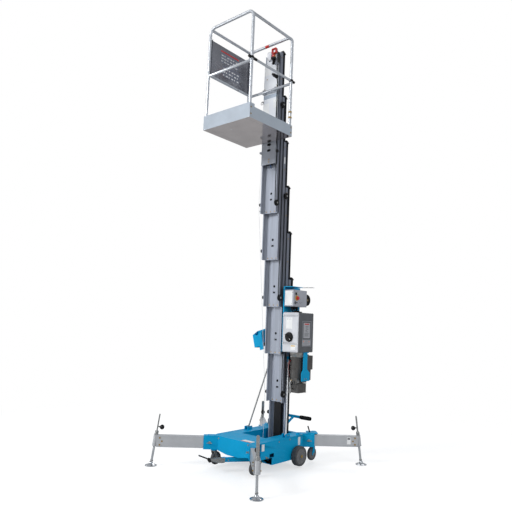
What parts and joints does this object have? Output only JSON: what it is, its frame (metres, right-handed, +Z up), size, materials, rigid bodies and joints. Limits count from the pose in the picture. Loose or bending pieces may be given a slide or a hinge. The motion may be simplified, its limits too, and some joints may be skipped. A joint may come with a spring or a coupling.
{
  "type": "aerial work platform",
  "caption": "Push-around aerial work platform: telescoping mast columns on a wheeled base with outriggers and screw jacks, carrying a railed platform.",
  "frame": {"origin": "on the ground, midway between the four feet", "axes": "+Z up along the mast, -Y front (platform side), +X the side with the power case"},
  "size_m": [1.536, 1.85, 4.653],
  "materials": {
    "blue_paint": "gloss",
    "mast_aluminium": "extruded",
    "bright_aluminium": "extruded",
    "zinc_steel": "zinc plated",
    "rail_metal": "satin",
    "floor_metal": "satin",
    "case_light": "satin",
    "box_grey": "satin",
    "unit_dark": "matt",
    "black_plastic": "matt",
    "black_rubber": "matt",
    "red_plastic": "gloss",
    "grey_tyre": "matt",
    "chain_steel": "oiled",
    "black_steel": "satin"
  },
  "bodies": {
    "base": {"chassis": "blue_paint", "chassis_fittings": "zinc_steel", "mast_base_column": "mast_aluminium", "mast_braces": "zinc_steel", "push_handle": "blue_paint", "unit_bracket": "blue_paint", "stowage_holder": "blue_paint", "power_case": "case_light", "control_box": "box_grey", "power_unit": "unit_dark", "lift_cylinder": "black_steel", "mast_cables": "black_rubber", "lift_chains": "chain_steel"},
    "mast_column_1": {"mast_column_1": "mast_aluminium"},
    "cable_sheave_1": {"cable_sheave_1": "black_plastic"},
    "mast_column_2": {"mast_column_2": "mast_aluminium"},
    "cable_sheave_2": {"cable_sheave_2": "black_plastic"},
    "mast_column_3": {"mast_column_3": "mast_aluminium"},
    "cable_sheave_3": {"cable_sheave_3": "black_plastic"},
    "mast_column_4": {"mast_column_4": "mast_aluminium"},
    "cable_sheave_4": {"cable_sheave_4": "black_plastic"},
    "mast_column_5": {"mast_column_5": "mast_aluminium"},
    "cable_sheave_5": {"cable_sheave_5": "black_plastic"},
    "platform": {"carriage": "mast_aluminium", "platform_floor": "floor_metal", "guard_rails": "rail_metal", "side_panel": "rail_metal", "platform_controls": "box_grey"},
    "entry_rail": {"entry_rail": "rail_metal"},
    "platform_stop_button": {"platform_stop_button": "red_plastic"},
    "platform_lever": {"platform_lever": "black_plastic"},
    "cylinder_rod": {"cylinder_rod": "zinc_steel"},
    "case_dial": {"case_dial": "black_plastic"},
    "ground_stop_button": {"ground_stop_button": "red_plastic"},
    "ground_key_switch": {"ground_key_switch": "black_plastic"},
    "ground_toggle": {"ground_toggle": "black_plastic"},
    "loading_wheel": {"loading_wheel": "grey_tyre"},
    "brake_pedal": {"brake_pedal": "zinc_steel"},
    "outrigger_front_left": {"outrigger_front_left": "bright_aluminium"},
    "jack_leg_front_left": {"jack_leg_front_left": "zinc_steel"},
    "jack_crank_front_left": {"jack_crank_front_left": "zinc_steel"},
    "outrigger_front_right": {"outrigger_front_right": "bright_aluminium"},
    "jack_leg_front_right": {"jack_leg_front_right": "zinc_steel"},
    "jack_crank_front_right": {"jack_crank_front_right": "zinc_steel"},
    "outrigger_rear_left": {"outrigger_rear_left": "bright_aluminium"},
    "jack_leg_rear_left": {"jack_leg_rear_left": "zinc_steel"},
    "jack_crank_rear_left": {"jack_crank_rear_left": "zinc_steel"},
    "outrigger_rear_right": {"outrigger_rear_right": "bright_aluminium"},
    "jack_leg_rear_right": {"jack_leg_rear_right": "zinc_steel"},
    "jack_crank_rear_right": {"jack_crank_rear_right": "zinc_steel"},
    "front_caster_fork_left": {"front_caster_fork_left": "zinc_steel"},
    "front_caster_wheel_left": {"front_caster_wheel_left": "grey_tyre"},
    "rear_caster_fork_left": {"rear_caster_fork_left": "blue_paint"},
    "rear_caster_wheel_left": {"rear_caster_wheel_left": "grey_tyre"},
    "rear_wheel_left": {"rear_wheel_left": "grey_tyre"},
    "front_caster_fork_right": {"front_caster_fork_right": "zinc_steel"},
    "front_caster_wheel_right": {"front_caster_wheel_right": "grey_tyre"},
    "rear_caster_fork_right": {"rear_caster_fork_right": "blue_paint"},
    "rear_caster_wheel_right": {"rear_caster_wheel_right": "grey_tyre"},
    "rear_wheel_right": {"rear_wheel_right": "grey_tyre"}
  },
  "joints": [
    {"name": "mast_lift", "type": "slide", "parent": "base", "child": "mast_column_1", "axis": [0, 0, 1], "range_m": [-0.516, 0.91], "deforming": ["mast_cables", "lift_chains"]},
    {"name": "stage_2", "type": "slide", "parent": "mast_column_1", "child": "mast_column_2", "axis": [0, 0, 1], "range_m": [-0.516, 0.91]},
    {"name": "stage_3", "type": "slide", "parent": "mast_column_2", "child": "mast_column_3", "axis": [0, 0, 1], "range_m": [-0.516, 0.91]},
    {"name": "stage_4", "type": "slide", "parent": "mast_column_3", "child": "mast_column_4", "axis": [0, 0, 1], "range_m": [-0.516, 0.91]},
    {"name": "stage_5", "type": "slide", "parent": "mast_column_4", "child": "mast_column_5", "axis": [0, 0, 1], "range_m": [-0.516, 0.91]},
    {"name": "carriage_slide", "type": "slide", "parent": "mast_column_5", "child": "platform", "axis": [0, 0, 1], "range_m": [-0.516, 0.91]},
    {"name": "cylinder_stroke", "type": "slide", "parent": "base", "child": "cylinder_rod", "axis": [0, 0, 1], "range_m": [-0.258, 0.455]},
    {"name": "sheave_1_spin", "type": "hinge", "parent": "mast_column_1", "child": "cable_sheave_1", "pos_m": [0.128, 0.2, 0.722], "axis": [1, 0, 0], "continuous": true},
    {"name": "sheave_2_spin", "type": "hinge", "parent": "mast_column_2", "child": "cable_sheave_2", "pos_m": [0.128, 0.144, 2.895], "axis": [1, 0, 0], "continuous": true},
    {"name": "sheave_3_spin", "type": "hinge", "parent": "mast_column_3", "child": "cable_sheave_3", "pos_m": [0.128, 0.088, 1.754], "axis": [1, 0, 0], "continuous": true},
    {"name": "sheave_4_spin", "type": "hinge", "parent": "mast_column_4", "child": "cable_sheave_4", "pos_m": [0.128, 0.032, 3.927], "axis": [1, 0, 0], "continuous": true},
    {"name": "sheave_5_spin", "type": "hinge", "parent": "mast_column_5", "child": "cable_sheave_5", "pos_m": [0.128, -0.024, 2.786], "axis": [1, 0, 0], "continuous": true},
    {"name": "entry_rail_lift", "type": "slide", "parent": "platform", "child": "entry_rail", "axis": [0, 0, 1], "range_m": [0, 0.42]},
    {"name": "platform_stop_press", "type": "slide", "parent": "platform", "child": "platform_stop_button", "axis": [0, 1, 0], "range_m": [0, 0.006], "stiffness_N_per_m": 900},
    {"name": "platform_lever_tilt", "type": "hinge", "parent": "platform", "child": "platform_lever", "pos_m": [0.084, -0.113, 4.433], "axis": [0, 1, 0], "range_deg": [-12, 12], "stiffness_Nm_per_rad": 0.4},
    {"name": "case_dial_turn", "type": "hinge", "parent": "base", "child": "case_dial", "pos_m": [0.245, 0.124, 1.338], "axis": [0, 1, 0], "range_deg": [0, 90]},
    {"name": "ground_stop_press", "type": "slide", "parent": "base", "child": "ground_stop_button", "axis": [-1, 0, 0], "range_m": [0, 0.006], "stiffness_N_per_m": 900},
    {"name": "ground_key_turn", "type": "hinge", "parent": "base", "child": "ground_key_switch", "pos_m": [0.282, 0.177, 1.803], "axis": [1, 0, 0], "range_deg": [-60, 60]},
    {"name": "ground_toggle_tilt", "type": "hinge", "parent": "base", "child": "ground_toggle", "pos_m": [0.274, 0.167, 1.704], "axis": [0, 1, 0], "range_deg": [-18, 18], "stiffness_Nm_per_rad": 0.2},
    {"name": "loading_wheel_spin", "type": "hinge", "parent": "base", "child": "loading_wheel", "pos_m": [0.193, 0.485, 1.75], "axis": [1, 0, 0], "continuous": true},
    {"name": "brake_pedal_tilt", "type": "hinge", "parent": "base", "child": "brake_pedal", "pos_m": [-0.05868, -0.49196, 0.12], "axis": [0.8192, -0.5736, 0], "range_deg": [-15, 15]},
    {"name": "outrigger_slide_front_left", "type": "slide", "parent": "base", "child": "outrigger_front_left", "axis": [-0.7071, -0.7071, 0], "range_m": [0, 0.12]},
    {"name": "jack_screw_front_left", "type": "slide", "parent": "outrigger_front_left", "child": "jack_leg_front_left", "axis": [0.0862, 0.0862, 0.9925], "range_m": [0, 0.12]},
    {"name": "jack_crank_front_left", "type": "hinge", "parent": "jack_leg_front_left", "child": "jack_crank_front_left", "pos_m": [-0.68129, -0.83829, 0.30769], "axis": [0.0862, 0.0862, 0.9925], "continuous": true},
    {"name": "outrigger_slide_front_right", "type": "slide", "parent": "base", "child": "outrigger_front_right", "axis": [0.7071, -0.7071, 0], "range_m": [0, 0.12]},
    {"name": "jack_screw_front_right", "type": "slide", "parent": "outrigger_front_right", "child": "jack_leg_front_right", "axis": [-0.0862, 0.0862, 0.9925], "range_m": [0, 0.12]},
    {"name": "jack_crank_front_right", "type": "hinge", "parent": "jack_leg_front_right", "child": "jack_crank_front_right", "pos_m": [0.68129, -0.83829, 0.30769], "axis": [-0.0862, 0.0862, 0.9925], "continuous": true},
    {"name": "outrigger_slide_rear_left", "type": "slide", "parent": "base", "child": "outrigger_rear_left", "axis": [-0.7071, 0.7071, 0], "range_m": [0, 0.12]},
    {"name": "jack_screw_rear_left", "type": "slide", "parent": "outrigger_rear_left", "child": "jack_leg_rear_left", "axis": [0.0862, -0.0862, 0.9925], "range_m": [0, 0.12]},
    {"name": "jack_crank_rear_left", "type": "hinge", "parent": "jack_leg_rear_left", "child": "jack_crank_rear_left", "pos_m": [-0.68129, 0.83829, 0.30769], "axis": [0.0862, -0.0862, 0.9925], "continuous": true},
    {"name": "outrigger_slide_rear_right", "type": "slide", "parent": "base", "child": "outrigger_rear_right", "axis": [0.7071, 0.7071, 0], "range_m": [0, 0.12]},
    {"name": "jack_screw_rear_right", "type": "slide", "parent": "outrigger_rear_right", "child": "jack_leg_rear_right", "axis": [-0.0862, -0.0862, 0.9925], "range_m": [0, 0.12]},
    {"name": "jack_crank_rear_right", "type": "hinge", "parent": "jack_leg_rear_right", "child": "jack_crank_rear_right", "pos_m": [0.68129, 0.83829, 0.30769], "axis": [-0.0862, -0.0862, 0.9925], "continuous": true},
    {"name": "front_caster_swivel_left", "type": "hinge", "parent": "base", "child": "front_caster_fork_left", "pos_m": [-0.26182, -0.41882, 0.16], "axis": [0, 0, 1], "continuous": true},
    {"name": "front_caster_spin_left", "type": "hinge", "parent": "front_caster_fork_left", "child": "front_caster_wheel_left", "pos_m": [-0.26182, -0.38882, 0.085], "axis": [1, 0, 0], "continuous": true},
    {"name": "rear_caster_swivel_left", "type": "hinge", "parent": "base", "child": "rear_caster_fork_left", "pos_m": [-0.2901, 0.56024, 0.26], "axis": [0, 0, 1], "continuous": true},
    {"name": "rear_caster_spin_left", "type": "hinge", "parent": "rear_caster_fork_left", "child": "rear_caster_wheel_left", "pos_m": [-0.2901, 0.53024, 0.09], "axis": [1, 0, 0], "continuous": true},
    {"name": "rear_wheel_spin_left", "type": "hinge", "parent": "base", "child": "rear_wheel_left", "pos_m": [-0.337, 0.235, 0.118], "axis": [1, 0, 0], "continuous": true},
    {"name": "front_caster_swivel_right", "type": "hinge", "parent": "base", "child": "front_caster_fork_right", "pos_m": [0.26182, -0.41882, 0.16], "axis": [0, 0, 1], "continuous": true},
    {"name": "front_caster_spin_right", "type": "hinge", "parent": "front_caster_fork_right", "child": "front_caster_wheel_right", "pos_m": [0.26182, -0.38882, 0.085], "axis": [1, 0, 0], "continuous": true},
    {"name": "rear_caster_swivel_right", "type": "hinge", "parent": "base", "child": "rear_caster_fork_right", "pos_m": [0.2901, 0.56024, 0.26], "axis": [0, 0, 1], "continuous": true},
    {"name": "rear_caster_spin_right", "type": "hinge", "parent": "rear_caster_fork_right", "child": "rear_caster_wheel_right", "pos_m": [0.2901, 0.53024, 0.09], "axis": [1, 0, 0], "continuous": true},
    {"name": "rear_wheel_spin_right", "type": "hinge", "parent": "base", "child": "rear_wheel_right", "pos_m": [0.337, 0.235, 0.118], "axis": [1, 0, 0], "continuous": true}
  ],
  "couplings": [
    {"joint": "stage_2", "follows": "mast_lift", "ratio": 1},
    {"joint": "stage_3", "follows": "mast_lift", "ratio": 1},
    {"joint": "stage_4", "follows": "mast_lift", "ratio": 1},
    {"joint": "stage_5", "follows": "mast_lift", "ratio": 1},
    {"joint": "carriage_slide", "follows": "mast_lift", "ratio": 1},
    {"joint": "cylinder_stroke", "follows": "mast_lift", "ratio": 0.5},
    {"joint": "sheave_1_spin", "follows": "mast_lift", "rad_per_m": -35.714},
    {"joint": "sheave_3_spin", "follows": "mast_lift", "rad_per_m": -35.714},
    {"joint": "sheave_5_spin", "follows": "mast_lift", "rad_per_m": -35.714},
    {"joint": "jack_crank_front_left", "follows": "jack_screw_front_left", "rad_per_m": 314.16},
    {"joint": "jack_crank_front_right", "follows": "jack_screw_front_right", "rad_per_m": 314.16},
    {"joint": "jack_crank_rear_left", "follows": "jack_screw_rear_left", "rad_per_m": 314.16},
    {"joint": "jack_crank_rear_right", "follows": "jack_screw_rear_right", "rad_per_m": 314.16}
  ]
}
